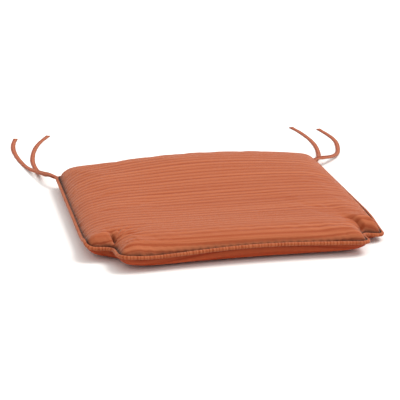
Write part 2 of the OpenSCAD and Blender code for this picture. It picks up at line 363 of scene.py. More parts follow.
def zip_tape_material():
    """Herringbone-woven tape."""
    n = Nodes("zip_tape")
    place = n.add("ShaderNodeTexCoord").outputs["Object"]
    split = n.add("ShaderNodeSeparateXYZ")
    n.link(place, split.inputs[0])
    fold = n.math("PINGPONG", split.outputs[2], 0.0012)
    slant = n.math("ADD", split.outputs[0], fold)
    lines = n.math("SINE", n.math("MULTIPLY", slant, 2 * math.pi / 0.0009))
    shade = n.math("MULTIPLY_ADD", lines, 0.5, 0.5)
    colour = n.ramp(shade, (0.1, (0.115, 0.030, 0.014)), (0.9, (0.190, 0.052, 0.026)))
    colour = n.mix(n.math("MULTIPLY", n.noise(place, 60, 3), 0.35), colour, (0.22, 0.075, 0.045))
    n.link(colour, n.shader.inputs["Base Color"])
    n.link(n.bump(lines, 0.0001, 0.7), n.shader.inputs["Normal"])
    n.set(Roughness=0.82, Sheen_Weight=0.2, Sheen_Roughness=0.5)
    return n.material


def coil_material():
    """Satin nylon monofilament."""
    n = Nodes("zip_coil")
    place = n.add("ShaderNodeTexCoord").outputs["Object"]
    spots = n.noise(place, 400, 2)
    colour = n.ramp(spots, (0.3, (0.105, 0.028, 0.014)), (0.7, (0.150, 0.042, 0.022)))
    n.link(colour, n.shader.inputs["Base Color"])
    n.link(n.math("MULTIPLY_ADD", spots, 0.2, 0.28), n.shader.inputs["Roughness"])
    n.set(Specular_IOR_Level=0.5)
    return n.material


def zip_metal_material():
    """Antiqued metal with the finish rubbed off its edges."""
    n = Nodes("zip_metal")
    place = n.add("ShaderNodeTexCoord").outputs["Object"]
    edge = n.add("ShaderNodeNewGeometry").outputs["Pointiness"]
    worn = n.ramp(edge, (0.54, (0, 0, 0)), (0.68, (1, 1, 1)))
    patina = n.noise(place, 900, 4, 0.65)
    colour = n.ramp(patina, (0.3, (0.165, 0.085, 0.052)), (0.75, (0.30, 0.175, 0.115)))
    colour = n.mix(worn, colour, (0.46, 0.33, 0.24))
    n.link(colour, n.shader.inputs["Base Color"])
    n.link(n.math("MULTIPLY_ADD", patina, 0.25, 0.25), n.shader.inputs["Roughness"])
    n.link(n.bump(n.noise(place, 1500, 3), 0.00005, 0.5), n.shader.inputs["Normal"])
    n.set(Metallic=0.9)
    return n.material


def plain_soft_material(name, low, high, scale, depth):
    """Wadding, foam and filler: pale, uneven and matte."""
    n = Nodes(name)
    place = n.add("ShaderNodeTexCoord").outputs["Object"]
    cloud = n.noise(place, scale, 5, 0.7)
    n.link(n.ramp(cloud, (0.35, low), (0.65, high)), n.shader.inputs["Base Color"])
    n.link(n.bump(cloud, depth, 0.8), n.shader.inputs["Normal"])
    n.set(Roughness=0.95)
    return n.material


COVER = woven_fabric("cover_fabric")
# Painted light: the underside is a brighter, redder copy of the cover fabric, standing in for the light
# that reaches the band under the pad's edge; it has no sheen
UNDERSIDE = woven_fabric(
    "underside_fabric", light=(0.62, 0.112, 0.034), dark=(0.40, 0.040, 0.006), nap=0.0
)
LIP = woven_fabric("lip_fabric", stitch_rows=(0.0019,))
PIPING = woven_fabric("piping_fabric", contrast=1.1, across=True, pitch=0.0052, wander=9.0)
TIE = woven_fabric("tie_fabric", stitch_rows=(0.0014, 0.0071), dark=(0.25, 0.042, 0.015))
TAPE = zip_tape_material()
COIL = coil_material()
METAL = zip_metal_material()
WADDING = plain_soft_material("wadding", (0.78, 0.77, 0.73), (0.92, 0.91, 0.88), 45, 0.0006)
FOAM = plain_soft_material("foam", (0.80, 0.66, 0.33), (0.92, 0.82, 0.50), 900, 0.0002)
FILLER = plain_soft_material("filler_cord", (0.70, 0.66, 0.56), (0.86, 0.83, 0.75), 700, 0.0002)

# ------------------------------------------------------------------ ties

TIE_LEANS = (0.6, 0.5, -0.6, 0.3)
TIE_W = 0.0085
TIE_T = 0.0012
TIE_LIE = 0.0007
TIE_ROUTES = {
    "tie_left_outer": [
        (-0.234, 0.231, 0.0194), (-0.242, 0.247, 0.0194), (-0.252, 0.272, 0.0154),
        (-0.260, 0.304, 0.0100), (-0.267, 0.338, 0.0045), (-0.273, 0.372, 0.0014),
        (-0.278, 0.410, TIE_LIE), (-0.281, 0.448, TIE_LIE), (-0.281, 0.486, TIE_LIE),
        (-0.277, 0.522, TIE_LIE), (-0.269, 0.557, TIE_LIE),
    ],
    "tie_left_inner": [
        (-0.234, 0.231, 0.0172), (-0.242, 0.247, 0.0172), (-0.248, 0.272, 0.0126),
        (-0.252, 0.304, 0.0066), (-0.255, 0.336, 0.0020), (-0.256, 0.368, TIE_LIE),
        (-0.255, 0.402, TIE_LIE), (-0.250, 0.438, TIE_LIE), (-0.244, 0.468, TIE_LIE),
        (-0.235, 0.500, TIE_LIE), (-0.222, 0.533, TIE_LIE), (-0.205, 0.566, TIE_LIE),
    ],
    "tie_right_outer": [
        (0.234, 0.231, 0.0194), (0.242, 0.247, 0.0194), (0.260, 0.265, 0.0154),
        (0.280, 0.286, 0.0100), (0.298, 0.314, 0.0050), (0.311, 0.345, 0.0016),
        (0.320, 0.378, TIE_LIE), (0.326, 0.410, TIE_LIE), (0.327, 0.440, TIE_LIE),
        (0.324, 0.472, TIE_LIE), (0.318, 0.506, TIE_LIE),
    ],
    "tie_right_inner": [
        (0.234, 0.231, 0.0172), (0.242, 0.247, 0.0172), (0.251, 0.272, 0.0126),
        (0.261, 0.300, 0.0068), (0.270, 0.332, 0.0020), (0.277, 0.366, TIE_LIE),
        (0.281, 0.400, TIE_LIE), (0.282, 0.432, TIE_LIE), (0.280, 0.464, TIE_LIE),
        (0.276, 0.497, TIE_LIE), (0.269, 0.529, TIE_LIE),
    ],
}


def ribbon_section(width, thickness):
    """Section of a folded strip: two rounded edges, a little thicker than the middle.

    Starts at the middle of one edge and goes over the top first."""
    half, edge = width / 2, thickness / 2
    upper = [(half, 0), (half - 0.1 * edge, 0.6 * edge), (half - edge, 1.0 * edge)]
    upper += [(half * f, 0.82 * edge) for f in (0.62, 0.22, -0.22, -0.62)]
    upper += [(-half + edge, 1.0 * edge), (-half + 0.1 * edge, 0.6 * edge), (-half, 0)]
    lower = [(-x, -y) for x, y in upper[1:-1]]
    return [(x, y) for x, y in upper] + lower


def add_tie(name, route, lean):
    """One flat tie: a folded, top-stitched strip with a hemmed square end."""
    steps = 110
    points = catmull_rom(route, steps)
    length = lengths_along(points)
    total = length[-1]
    # It rolls about its line between the seam and the floor
    lift = np.clip((points[:, 2] - TIE_LIE) / 0.012, 0, 1)
    turns = lean * lift * np.clip((length - 0.012) / 0.023, 0, 1)
    scales = np.ones((steps, 2))
    hem = np.clip((length - (total - 0.007)) / 0.001, 0, 1)
    scales[:, 1] = 1 + 0.55 * hem
    ripple = 0.03 * np.sin(length / 0.013) + 0.02 * np.sin(length / 0.0047 + lean)
    scales[:, 0] = 1 + ripple * (1 - hem)
    points = points.copy()
    points[:, 2] += 0.00025 * hem
    verts, faces, uvs = sweep(points, ribbon_section(TIE_W, TIE_T), turns=turns, scales=scales)
    tie = make_object(name + "_fabric", verts, faces, uvs)
    flat_ends(tie)
    finish_piece(tie, TIE, replaces=(name,))
    return tie


def flat_ends(obj):
    """Shades the end caps flat, so that a strip's cut ends stay crisp."""
    for polygon in obj.data.polygons:
        if len(polygon.vertices) > 4:
            polygon.use_smooth = False


for index, (tie_name, tie_route) in enumerate(TIE_ROUTES.items()):
    add_tie(tie_name, tie_route, TIE_LEANS[index])

# ------------------------------------------------------------------ the seam line


def arc(cx, cy, radius, start, end, steps=10):
    angles = np.radians(np.linspace(start, end, steps + 1))
    return np.column_stack([cx + radius * np.cos(angles), cy + radius * np.sin(angles)])


def seam_plan():
    """The notched outline of the seam, anticlockwise from the front right corner."""
    half = np.vstack([
        arc(FRONT_X - FRONT_R, -HALF_DEPTH + FRONT_R, FRONT_R, -90, 0),
        arc(FRONT_X + NOTCH_R, NOTCH_Y - NOTCH_R, NOTCH_R, 180, 90),
        arc(EAR_X - EAR_R, NOTCH_Y + EAR_R, EAR_R, -90, 0),
        arc(REAR_X - REAR_R, HALF_DEPTH - REAR_R, REAR_R, 0, 90),
    ])
    return np.vstack([half, half[::-1] * [-1, 1]])


def even_loop(points, spacing):
    """A closed line cut into equal steps of about this length."""
    closed = np.vstack([points, points[:1]])
    length = lengths_along(closed)
    count = int(round(length[-1] / spacing))
    at = np.linspace(0, length[-1], count, endpoint=False)
    return np.column_stack([np.interp(at, length, closed[:, k]) for k in range(closed.shape[1])])


def bump_at(x, y, cx, cy, reach):
    return np.exp(-(((x - cx) ** 2 + (y - cy) ** 2) / reach ** 2))


def seam_height(x, y):
    """Height of the seam: level but for one ear curled up, one pressed down and a raised front."""
    rise = 0.0074 * bump_at(x, y, -EAR_X - 0.004, -0.146, 0.022)
    rise = rise - 0.0095 * bump_at(x, y, EAR_X, -0.156, 0.046)
    rise = rise + 0.0063 * bump_at(x, y, 0.019, -HALF_DEPTH, 0.140)
    rise = rise + 0.0045 * bump_at(x, y, -FRONT_X, -HALF_DEPTH, 0.040)
    return SEAM_Z + rise


def drawn_in(plan):
    """The stuffing draws the long front edge in between its corners."""
    x, y = plan[:, 0], plan[:, 1].copy()
    front = np.clip((-HALF_DEPTH + 0.012 - y) / 0.010, 0, 1)
    y += front * 0.0100 * np.clip(1 - ((x - 0.03) / (FRONT_X - 0.01)) ** 2, 0, 1)
    return np.column_stack([x, y])


def inward_normals(plan):
    along = np.roll(plan, -1, axis=0) - np.roll(plan, 1, axis=0)
    along /= np.linalg.norm(along, axis=1)[:, None]
    return np.column_stack([-along[:, 1], along[:, 0]])


SEAM = drawn_in(even_loop(seam_plan(), 0.0040))

# ------------------------------------------------------------------ flat panel mesh

CREVICE = 0.0021  # the cover dips beside the piping for this far before it rises
EDGE_ROWS = (CREVICE, 0.0042, 0.0070)


def distance_to_loop(points, loop):
    """Distance from each point to a closed polyline."""
    start, end = loop, np.roll(loop, -1, axis=0)
    run = end - start
    best = np.full(len(points), 1e9)
    for a, r in zip(start, run):
        t = np.clip(((points - a) @ r) / (r @ r), 0, 1)
        best = np.minimum(best, np.linalg.norm(points - a - t[:, None] * r, axis=1))
    return best


def inside_loop(points, loop):
    """Even-odd test of each point against a closed polyline."""
    x, y = points[:, 0], points[:, 1]
    inside = np.zeros(len(points), dtype=bool)
    for (x0, y0), (x1, y1) in zip(loop, np.roll(loop, -1, axis=0)):
        if y0 != y1:
            cut = ((y0 > y) != (y1 > y)) & (x < (x1 - x0) * (y - y0) / (y1 - y0) + x0)
            inside ^= cut
    return inside


def panel_edge(spacing, inset=RIM):
    return even_loop(SEAM + inward_normals(SEAM) * inset, spacing)


def hexagonal(spacing):
    """Points of a hexagonal lattice over the whole pad."""
    lattice = []
    for number, y in enumerate(np.arange(-HALF_DEPTH, HALF_DEPTH, spacing * math.sqrt(3) / 2)):
        shift = spacing / 2 * (number % 2)
        for x in np.arange(-EAR_X + shift, EAR_X, spacing):
            lattice.append((x, y))
    return np.array(lattice)


def panel_mesh(spacing, inset, fine_areas):
    """Triangles over the area inside the seam: rows along the edge, then a regular lattice.

    fine_areas lists (centre, reach) of the discs where the lattice is three times finer."""
    edge = panel_edge(spacing, inset)
    inward = inward_normals(edge)
    rows = [edge + inward * row for row in EDGE_ROWS]
    lattice = hexagonal(spacing)
    for corner, reach in fine_areas:
        near = np.hypot(*(lattice - corner).T) < reach
        fine = hexagonal(spacing / 3)
        fine = fine[np.hypot(*(fine - corner).T) < reach]
        lattice = np.vstack([lattice[~near], fine])
    lattice = lattice[inside_loop(lattice, edge)]
    lattice = lattice[distance_to_loop(lattice, edge) > EDGE_ROWS[-1] + 0.3 * spacing]
    points = np.vstack([edge, *rows, lattice])
    loop = [(i, (i + 1) % len(edge)) for i in range(len(edge))]
    out = delaunay_2d_cdt([Vector(p) for p in points], loop, [], 1, 1e-7)
    flat = np.array([tuple(v) for v in out[0]])
    faces = np.array([f for f in out[2] if len(f) == 3])
    away = distance_to_loop(flat, edge)
    return flat, faces, away


def smoothed(faces, values, rounds):
    """Averages the rows of values over neighbouring vertices this many times."""
    count = len(values)
    edges = np.vstack([faces[:, [0, 1]], faces[:, [1, 2]], faces[:, [2, 0]]])
    edges = np.vstack([edges, edges[:, ::-1]])
    number = np.bincount(edges[:, 0], minlength=count)[:, None]
    for _ in range(rounds):
        around = np.column_stack([
            np.bincount(edges[:, 0], column, count) for column in values[edges[:, 1]].T
        ])
        values = 0.5 * values + 0.5 * around / number
    return values


class Surface:
    """Cotangent Laplacian of a triangle mesh, with a conjugate-gradient solver."""

    def __init__(self, points, faces):
        self.count = len(points)
        if points.shape[1] == 2:
            points = np.column_stack([points, np.zeros(len(points))])
        a, b, c = (points[faces[:, k]] for k in range(3))
        self.area = np.linalg.norm(np.cross(b - a, c - a), axis=1) / 2
        i, j, w = [], [], []
        self.cot = []
        for k in range(3):
            here, one, two = faces[:, k], faces[:, (k + 1) % 3], faces[:, (k + 2) % 3]
            u, v = points[one] - points[here], points[two] - points[here]
            cot = np.clip(np.einsum("ij,ij->i", u, v) / (2 * self.area), -5, 5)
            self.cot.append(cot)
            i += [one, two]
            j += [two, one]
            w += [cot / 2, cot / 2]
        self.i, self.j, self.w = np.concatenate(i), np.concatenate(j), np.concatenate(w)
        self.diagonal = np.bincount(self.i, self.w, self.count)
        self.mass = np.bincount(faces.ravel(), np.repeat(self.area / 3, 3), self.count)

    def laplace(self, x):
        return self.diagonal * x - np.bincount(self.i, self.w * x[self.j], self.count)

    def solve(self, right, extra=0.0, fixed=None, steps=1500):
        """x with laplace(x) + extra * x = right, and x = 0 where fixed."""
        free = np.ones(self.count, dtype=bool) if fixed is None else ~fixed
        scale = 1 / np.maximum(self.diagonal + extra, 1e-12)
        x = np.zeros(self.count)
        r = np.where(free, right, 0)
        z = r * scale
        p = z.copy()
        rz = r @ z
        first = rz
        for _ in range(steps):
            q = np.where(free, self.laplace(p) + extra * p, 0)
            alpha = rz / max(p @ q, 1e-30)
            x += alpha * p
            r -= alpha * q
            z = r * scale
            new = r @ z
            if new < 1e-12 * first:
                break
            p = z + (new / rz) * p
            rz = new
        return x


class Panel:
    """A flat mesh over the seam's plan, and how far each of its points is into the pad."""

    def __init__(self, spacing, inset=RIM, fine_areas=()):
        self.flat, self.faces, self.away = panel_mesh(spacing, inset, fine_areas)
        self.surface = Surface(self.flat, self.faces)
        self.rim = self.away < 1e-6

    def levelling(self, reach):
        """0 along the crevice, rising to 1 over about this distance, smooth round corners."""
        extra = self.surface.mass / reach ** 2
        fixed = self.away < 0.9 * CREVICE
        found = self.surface.solve(extra, extra, fixed)
        return np.clip(found / found.max(), 0, 1 - 1e-9)

    def fullness(self, reach):
        """Like levelling, but corners are as full as the straight sides."""
        direct = 1 - np.exp(-np.clip(self.away - CREVICE, 0, 1) / reach)
        direct = smoothed(self.faces, direct[:, None], 4)[:, 0]
        direct[self.away < 0.9 * CREVICE] = 0
        return 0.25 * self.levelling(reach) + 0.75 * direct


# ------------------------------------------------------------------ the stuffed shape

LEFT_TUCK = (-FRONT_X + 0.005, NOTCH_Y + 0.002)
RIGHT_TUCK = (FRONT_X + 0.004, NOTCH_Y + 0.003)


# Where the left notch's slit starts, its heading, how far off it begins, its length and width
LEFT_SLIT = (LEFT_TUCK, 102, 0.003, 0.028, 0.0019)


def valley(x, y, start, heading, begin, length, width, depth):
    """A crease that leaves a point on a heading, deepest near its start and fading out."""
    angle = math.radians(heading)
    dx, dy = x - start[0], y - start[1]
    along = dx * math.cos(angle) + dy * math.sin(angle) - begin
    aside = -dx * math.sin(angle) + dy * math.cos(angle)
    part = np.clip(along / length, 0, 1)
    fade = (1 - part ** 1.5) ** 2 * np.clip(1 + along / 0.004, 0, 1)
    return depth * fade * np.exp(-((aside / (width * (0.6 + 0.8 * part))) ** 2))


def fan(x, y, start, heading, spread, folds, reach, depth):
    """Fine folds that fan out from a pinched point of the seam."""
    dx, dy = x - start[0], y - start[1]
    away = np.hypot(dx, dy)
    angle = (np.degrees(np.arctan2(dy, dx)) - heading + 180) % 360 - 180
    window = np.exp(-((angle / spread) ** 2)) * np.exp(-(((away - 0.3 * reach) / reach) ** 2))
    return depth * window * np.clip(away / 0.006, 0, 1) * np.sin(np.radians(angle) * folds)


def top_shape(panel):
    """Height of the crowned top: full sides, a front thinner than the rear, pinched notches."""
    x, y = panel.flat[:, 0], panel.flat[:, 1]
    across, back = x / EAR_X, y / HALF_DEPTH
    lip, side, middle = panel.fullness(0.0035), panel.fullness(0.016), panel.levelling(0.100)
    shoulder = 0.0225 * (1 - 0.13 * across + 0.06 * back - 0.20 * across ** 2)
    corner = bump_at(x, y, -REAR_X, HALF_DEPTH, 0.085)
    side = side * (1 - corner) + panel.fullness(0.0075) * corner
    shoulder = shoulder - 0.0050 * corner - 0.0045 * bump_at(x, y, REAR_X, HALF_DEPTH, 0.075)
    right = np.clip((x - 0.110) / 0.090, 0, 1) ** 2
    side = side * (1 - right) + panel.fullness(0.0080) * right
    crown = 0.0067 * across + 0.0246 * back + 0.0175 * back ** 2 + 0.0088 * across * back
    crown = crown + 0.0040 * bump_at(x, y, -0.035, 0.180, 0.090)
    crown = crown - 0.0060 * bump_at(x, y, 0.165, 0.185, 0.070)
    crown = crown - 0.0040 * bump_at(x, y, -0.175, 0.185, 0.050)
    edge = seam_height(x, y) * (1 - middle) + SEAM_Z * middle
    z = edge - 0.0010 * (1 - lip) + 0.0055 * lip + side * shoulder + middle * crown
    near = np.clip((panel.away - CREVICE) / 0.004, 0, 1)
    z -= near * valley(x, y, *LEFT_SLIT, 0.0150)
    z -= near * valley(x, y, LEFT_TUCK, 100, 0.000, 0.050, 0.0080, 0.0045)
    z -= near * valley(x, y, LEFT_TUCK, 70, 0.024, 0.012, 0.0024, 0.0026)
    z -= near * valley(x, y, RIGHT_TUCK, 126, -0.004, 0.060, 0.0060, 0.0165)
    z += near * fan(x, y, LEFT_TUCK, 30, 34, 17, 0.024, 0.0019)
    z += near * fan(x, y, RIGHT_TUCK, 175, 30, 14, 0.022, 0.0012)
    z += 0.0065 * side * bump_at(x, y, EAR_X - 0.020, -0.148, 0.026)
    return np.column_stack([x, y, np.maximum(z, seam_height(x, y) - 0.0010)])


ROLL_POWER = 2.6


def front_part(y):
    """1 under the front edge, 0 from 80 mm behind it."""
    return np.clip((-y - HALF_DEPTH + 0.080) / 0.050, 0, 1)


def roll_reach(x, y):
    """How far in from the seam the rounded lower edge goes; the ears' undersides lift most."""
    reach = 0.024 - 0.007 * front_part(y) + 0.026 * bump_at(x, y, -EAR_X, NOTCH_Y - 0.010, 0.060)
    return reach + 0.018 * bump_at(x, y, EAR_X, NOTCH_Y - 0.010, 0.060)


def bottom_shape(panel):
    """The underside: a rounded edge down to the flat it rests on, hollowed behind the zip."""
    x, y = panel.flat[:, 0], panel.flat[:, 1]
    far = -0.030 * np.log(1 - panel.levelling(0.030))
    part = np.clip(far / roll_reach(x, y), 0, 1)
    fall = (1 - (1 - part) ** ROLL_POWER) ** (1 / ROLL_POWER)
    lift = 0.0048 * front_part(y) * np.clip(1 - far / 0.060, 0, 1)
    z = lift + (seam_height(x, y) - lift) * (1 - fall)
    ripple = 0.0004 * (1 + np.sin(x * 61 + 2 * np.sin(y * 23)) * np.sin(y * 47 + 1.3))
    z += ripple * np.clip((part - 0.8) / 0.2, 0, 1)
    at_rear = np.clip((y - 0.170) / 0.020, 0, 1)
    along_zip = np.clip((0.186 - np.abs(x)) / 0.004, 0, 1)
    above = np.clip(z / 0.003, 0, 1)
    below = np.clip((SEAM_Z + 0.001 - z) / 0.002, 0, 1)
    return np.column_stack([x, y - 0.0058 * at_rear * along_zip * above * below, z])


def puffed(panel, points, growth, frames, pressure, cap):
    """Swells a panel with Cloth, its edge held in the seam, and adds the folds that form.

    The cloth is cut a little larger than the space it fills, so it gathers along the seam.
    Only the fine part of the movement is kept, and no point moves further than cap."""
    obj = make_object("panel_on_the_bench", points, panel.faces)
    group = obj.vertex_groups.new(name="seam")
    group.add([int(i) for i in np.where(panel.rim)[0]], 1.0, "REPLACE")
    cloth = obj.modifiers.new("cloth", "CLOTH")
    settings = cloth.settings
    settings.quality = 6
    settings.mass = 0.25
    settings.vertex_group_mass = "seam"
    settings.tension_stiffness = 22
    settings.compression_stiffness = 9
    settings.shear_stiffness = 7
    settings.bending_stiffness = 0.6
    settings.tension_damping = 12
    settings.compression_damping = 12
    settings.shear_damping = 12
    settings.bending_damping = 1.5
    settings.air_damping = 4
    settings.shrink_min = -growth
    settings.use_pressure = True
    settings.uniform_pressure_force = pressure
    settings.effector_weights.gravity = 0
    cloth.collision_settings.use_collision = False
    cloth.collision_settings.use_self_collision = False
    cloth.point_cache.frame_start = 1
    cloth.point_cache.frame_end = frames
    scene = bpy.context.scene
    for number in range(1, frames + 1):
        scene.frame_set(number)
    graph = bpy.context.evaluated_depsgraph_get()
    swollen = obj.evaluated_get(graph).to_mesh()
    moved = np.empty(len(points) * 3)
    swollen.vertices.foreach_get("co", moved)
    obj.evaluated_get(graph).to_mesh_clear()
    scene.frame_set(1)
    mesh = obj.data
    bpy.data.objects.remove(obj)
    bpy.data.meshes.remove(mesh)
    change = moved.reshape(-1, 3) - points
    fine = change - smoothed(panel.faces, change, 60)
    size = np.linalg.norm(fine, axis=1)
    return points + fine * np.minimum(1, cap / np.maximum(size, 1e-9))[:, None]


def thread_coordinates(panel, points):
    """Distances (u, v) along the two sets of threads at each vertex of a panel.

    The threads follow the cloth over its curves, so u and v are fitted to its surface."""
    faces = panel.faces
    surface = Surface(points, faces)
    a, b, c = (points[faces[:, k]] for k in range(3))
    normal = np.cross(b - a, c - a)
    normal /= np.linalg.norm(normal, axis=1)[:, None]
    found = []
    for axis in (0, 1):
        want = np.zeros(3)
        want[axis] = 1
        field = want - normal * (normal @ want)[:, None]
        field /= np.maximum(np.linalg.norm(field, axis=1), 0.2)[:, None]
        right = np.zeros(surface.count)
        for k in range(3):
            here, one, two = faces[:, k], faces[:, (k + 1) % 3], faces[:, (k + 2) % 3]
            e1, e2 = points[one] - points[here], points[two] - points[here]
            c1, c2 = surface.cot[(k + 2) % 3], surface.cot[(k + 1) % 3]
            pull = 0.5 * (c1 * np.einsum("ij,ij->i", e1, field) + c2 * np.einsum("ij,ij->i", e2, field))
            right -= np.bincount(here, pull, surface.count)
        value = surface.solve(right - right.mean(), extra=1e-9)
        middle = np.argmin(np.hypot(points[:, 0], points[:, 1]))
        found.append(value - value[middle])
    return np.column_stack(found)


def add_cover_panel(name, panel, points, upward, crease_shade, material, replaces):
    """One fabric panel as its own piece, with its thickness and painted shade in its creases."""
    faces = panel.faces if upward else panel.faces[:, ::-1]
    obj = make_object(name, points, faces, thread_coordinates(panel, points))
    # Painted shade: the per-vertex amount of near-black mixed into the fabric in its creases
    layer = obj.data.attributes.new("crevice", "FLOAT", "POINT")
    layer.data.foreach_set("value", crease_shade.astype(np.float32))
    subdivision = obj.modifiers.new("subdivision", "SUBSURF")
    subdivision.levels = subdivision.render_levels = 1
    subdivision.boundary_smooth = "PRESERVE_CORNERS"
    thickness = obj.modifiers.new("thickness", "SOLIDIFY")
    thickness.thickness = FABRIC_T
    thickness.offset = -1
    baked(obj)
    finish_piece(obj, material, replaces=(replaces,))
    return obj


PINCHES = ((LEFT_TUCK, 0.040), (RIGHT_TUCK, 0.032))
PANEL = Panel(0.0060, fine_areas=PINCHES)
top = top_shape(PANEL)
bottom = bottom_shape(PANEL)
# Painted shade: how strongly near-black is mixed into the cover beside the piping and in the left
# notch's slit; the underside gets half as much
seam_shade = 1 / (1 + (PANEL.away / 0.0034) ** 4)
slit_shade = valley(PANEL.flat[:, 0], PANEL.flat[:, 1], *LEFT_SLIT, 1.0)
upper_face = puffed(PANEL, top, 0.008, 16, 3.0, 0.0014)
top_shade = np.maximum(seam_shade, slit_shade)
add_cover_panel("cover_top_fabric", PANEL, upper_face, True, top_shade, COVER, "cover_top")
add_cover_panel("cover_bottom_fabric", PANEL, bottom, False, 0.5 * seam_shade, UNDERSIDE, "cover_bottom")

# ------------------------------------------------------------------ filling


def nearby(points, values, places):
    """Values at other places, averaged from the four nearest points."""
    tree = KDTree(len(points))
    for number, (x, y) in enumerate(points):
        tree.insert((x, y, 0), number)
    tree.balance()
    found = []
    for x, y in places:
        near = tree.find_n((x, y, 0), 4)
        weight = np.array([1 / (distance + 1e-4) for _, _, distance in near])
        found.append(values[[number for _, number, _ in near]] @ weight / weight.sum())
    return np.array(found)


def add_filling(name, inset, span, material, replaces):
    """A closed piece of the filling, this far in from the seam all round.

    span(top, bottom) gives its upper and lower heights from those of the cover."""
    panel = Panel(0.012, inset)
    x, y = panel.flat[:, 0], panel.flat[:, 1]
    upper, lower = span(
        nearby(PANEL.flat, top[:, 2], panel.flat),
        nearby(PANEL.flat, bottom[:, 2], panel.flat),
    )
    for tuck in (LEFT_TUCK, RIGHT_TUCK):
        upper = upper - 0.020 * bump_at(x, y, *tuck, 0.024)
    upper = np.maximum(upper, lower + 0.002)
    count = len(x)
    faces = [tuple(f) for f in panel.faces]
    pairs = {(f[k], f[(k + 1) % 3]) for f in faces for k in range(3)}
    wall = [(a + count, b + count, b, a) for a, b in pairs if (b, a) not in pairs]
    under = [(a + count, c + count, b + count) for a, b, c in faces]
    verts = np.vstack([np.column_stack([x, y, upper]), np.column_stack([x, y, lower])])
    obj = make_object(name, verts, faces + under + wall)
    finish_piece(obj, material, replaces=(replaces,))


add_filling("upper_wadding", 0.0110,
            lambda up, down: (up - 0.0045, np.maximum(up - 0.0115, down + 0.008)),
            WADDING, "batting_top")
add_filling("lower_wadding", 0.0170, lambda up, down: (down + 0.0055, down + 0.0015),
            WADDING, "batting_bottom")
add_filling("foam_block", 0.0160, lambda up, down: (up - 0.0125, down + 0.0065),
            FOAM, "foam_core")

# ------------------------------------------------------------------ piping


def seam_3d(spacing):
    plan = even_loop(SEAM, spacing)
    return np.column_stack([plan, seam_height(plan[:, 0], plan[:, 1])])


def add_piping():
    """The covered cord sewn into the seam, with the small unevenness of a hand-fed strip."""
    line = seam_3d(0.0025)
    length = lengths_along(line)
    uneven = 1 + 0.020 * np.sin(length / 0.0061) + 0.018 * np.sin(length / 0.0023 + 2)
    scales = np.column_stack([uneven, uneven])
    section = ring_section(WELT_R, 16)
    verts, faces, uvs = sweep(line, section, closed=True, scales=scales)
    piping = make_object("piping_fabric", verts, faces, uvs)
    # Painted shade: the piping's inner side, facing the panels, is darkened through the 'crevice'
    # attribute
    layer = piping.data.attributes.new("crevice", "FLOAT", "POINT")
    inward = np.clip((-np.array(section)[:, 0] / WELT_R - 0.25) / 0.40, 0, 1)
    layer.data.foreach_set("value", np.tile(inward, len(line)).astype(np.float32))
    finish_piece(piping, PIPING, replaces=("welt_wrap",))


def add_filler_cord():
    """The three-strand cord inside the piping."""
    line = seam_3d(0.0030)
    strands = [(0.0019 + 0.00018 * math.cos(3 * a), a) for a in np.linspace(0, 2 * math.pi, 19)[:-1]]
    section = [(r * math.cos(a), r * math.sin(a)) for r, a in strands]
    verts, faces, uvs = sweep(line, section, closed=True)
    filler = make_object("filler_cord", verts, faces, uvs)
    finish_piece(filler, FILLER, replaces=("welt_filler",))


def add_piping_join():
    """The folded end of the piping strip, lapped over its beginning at the rear."""
    line = seam_3d(0.0010)
    low, high = JOIN_SPAN
    line = line[(line[:, 1] > 0) & (line[:, 0] > low) & (line[:, 0] < high)]
    length = lengths_along(line)
    ends = np.minimum(length, length[-1] - length)
    scales = np.repeat((0.90 + 0.10 * np.clip(ends / 0.0012, 0, 1))[:, None], 2, axis=1)
    verts, faces, uvs = sweep(line, ring_section(WELT_R + 0.0005, 16), scales=scales)
    verts[:, 0] += 0.7 * (verts[:, 2] - SEAM_Z)
    join = make_object("piping_join_fabric", verts, faces, uvs)
    flat_ends(join)
    finish_piece(join, PIPING, replaces=("welt_join",))


def add_anchor(node, route):
    """The folded end that a corner's two ties share, sewn in under the piping."""
    start, after = np.array(route[0]), np.array(route[1])
    run = (after - start) * (1, 1, 0)
    run /= np.linalg.norm(run)
    start[2] = ANCHOR_Z
    line = start - run * np.linspace(ANCHOR_LEN, 0, 6)[:, None]
    verts, faces, uvs = sweep(line, ribbon_section(TIE_W + 0.0004, ANCHOR_T))
    anchor = make_object(node + "_fabric", verts, faces, uvs)
    flat_ends(anchor)
    finish_piece(anchor, TIE, replaces=(node,))


JOIN_SPAN = (-0.208, -0.184)
ANCHOR_LEN, ANCHOR_T, ANCHOR_Z = 0.005, 0.0036, 0.0183
add_piping()
add_filler_cord()
add_piping_join()
add_anchor("tie_anchor_left", TIE_ROUTES["tie_left_outer"])
add_anchor("tie_anchor_right", TIE_ROUTES["tie_right_outer"])

# ------------------------------------------------------------------ zip

ZIP_Y, ZIP_Z = HALF_DEPTH - 0.0059, 0.0104
ZIP_TILT = math.radians(70.9)
COIL_HALF = 0.167
TAPE_HALF = 0.178
LIP_HALF = 0.185


def zip_places(along, up, into):
    """Places given in the zip's own frame: along it, up its face and into the pad."""
    c, s = math.cos(ZIP_TILT), math.sin(ZIP_TILT)
    along, up, into = np.broadcast_arrays(along, up, into)
    return np.stack([along, ZIP_Y + up * c - into * s, ZIP_Z + up * s + into * c], -1)


def capped_tube_faces(rings, sides):
    """Faces of a tube through this many rings of points, closed at both ends."""
    faces = []
    for k in range(rings - 1):
        for i in range(sides):
            near, far, beside = k * sides, (k + 1) * sides, (i + 1) % sides
            faces.append((near + i, near + beside, far + beside, far + i))
    return faces + [tuple(range(sides)), tuple((rings - 1) * sides + i for i in range(sides))]


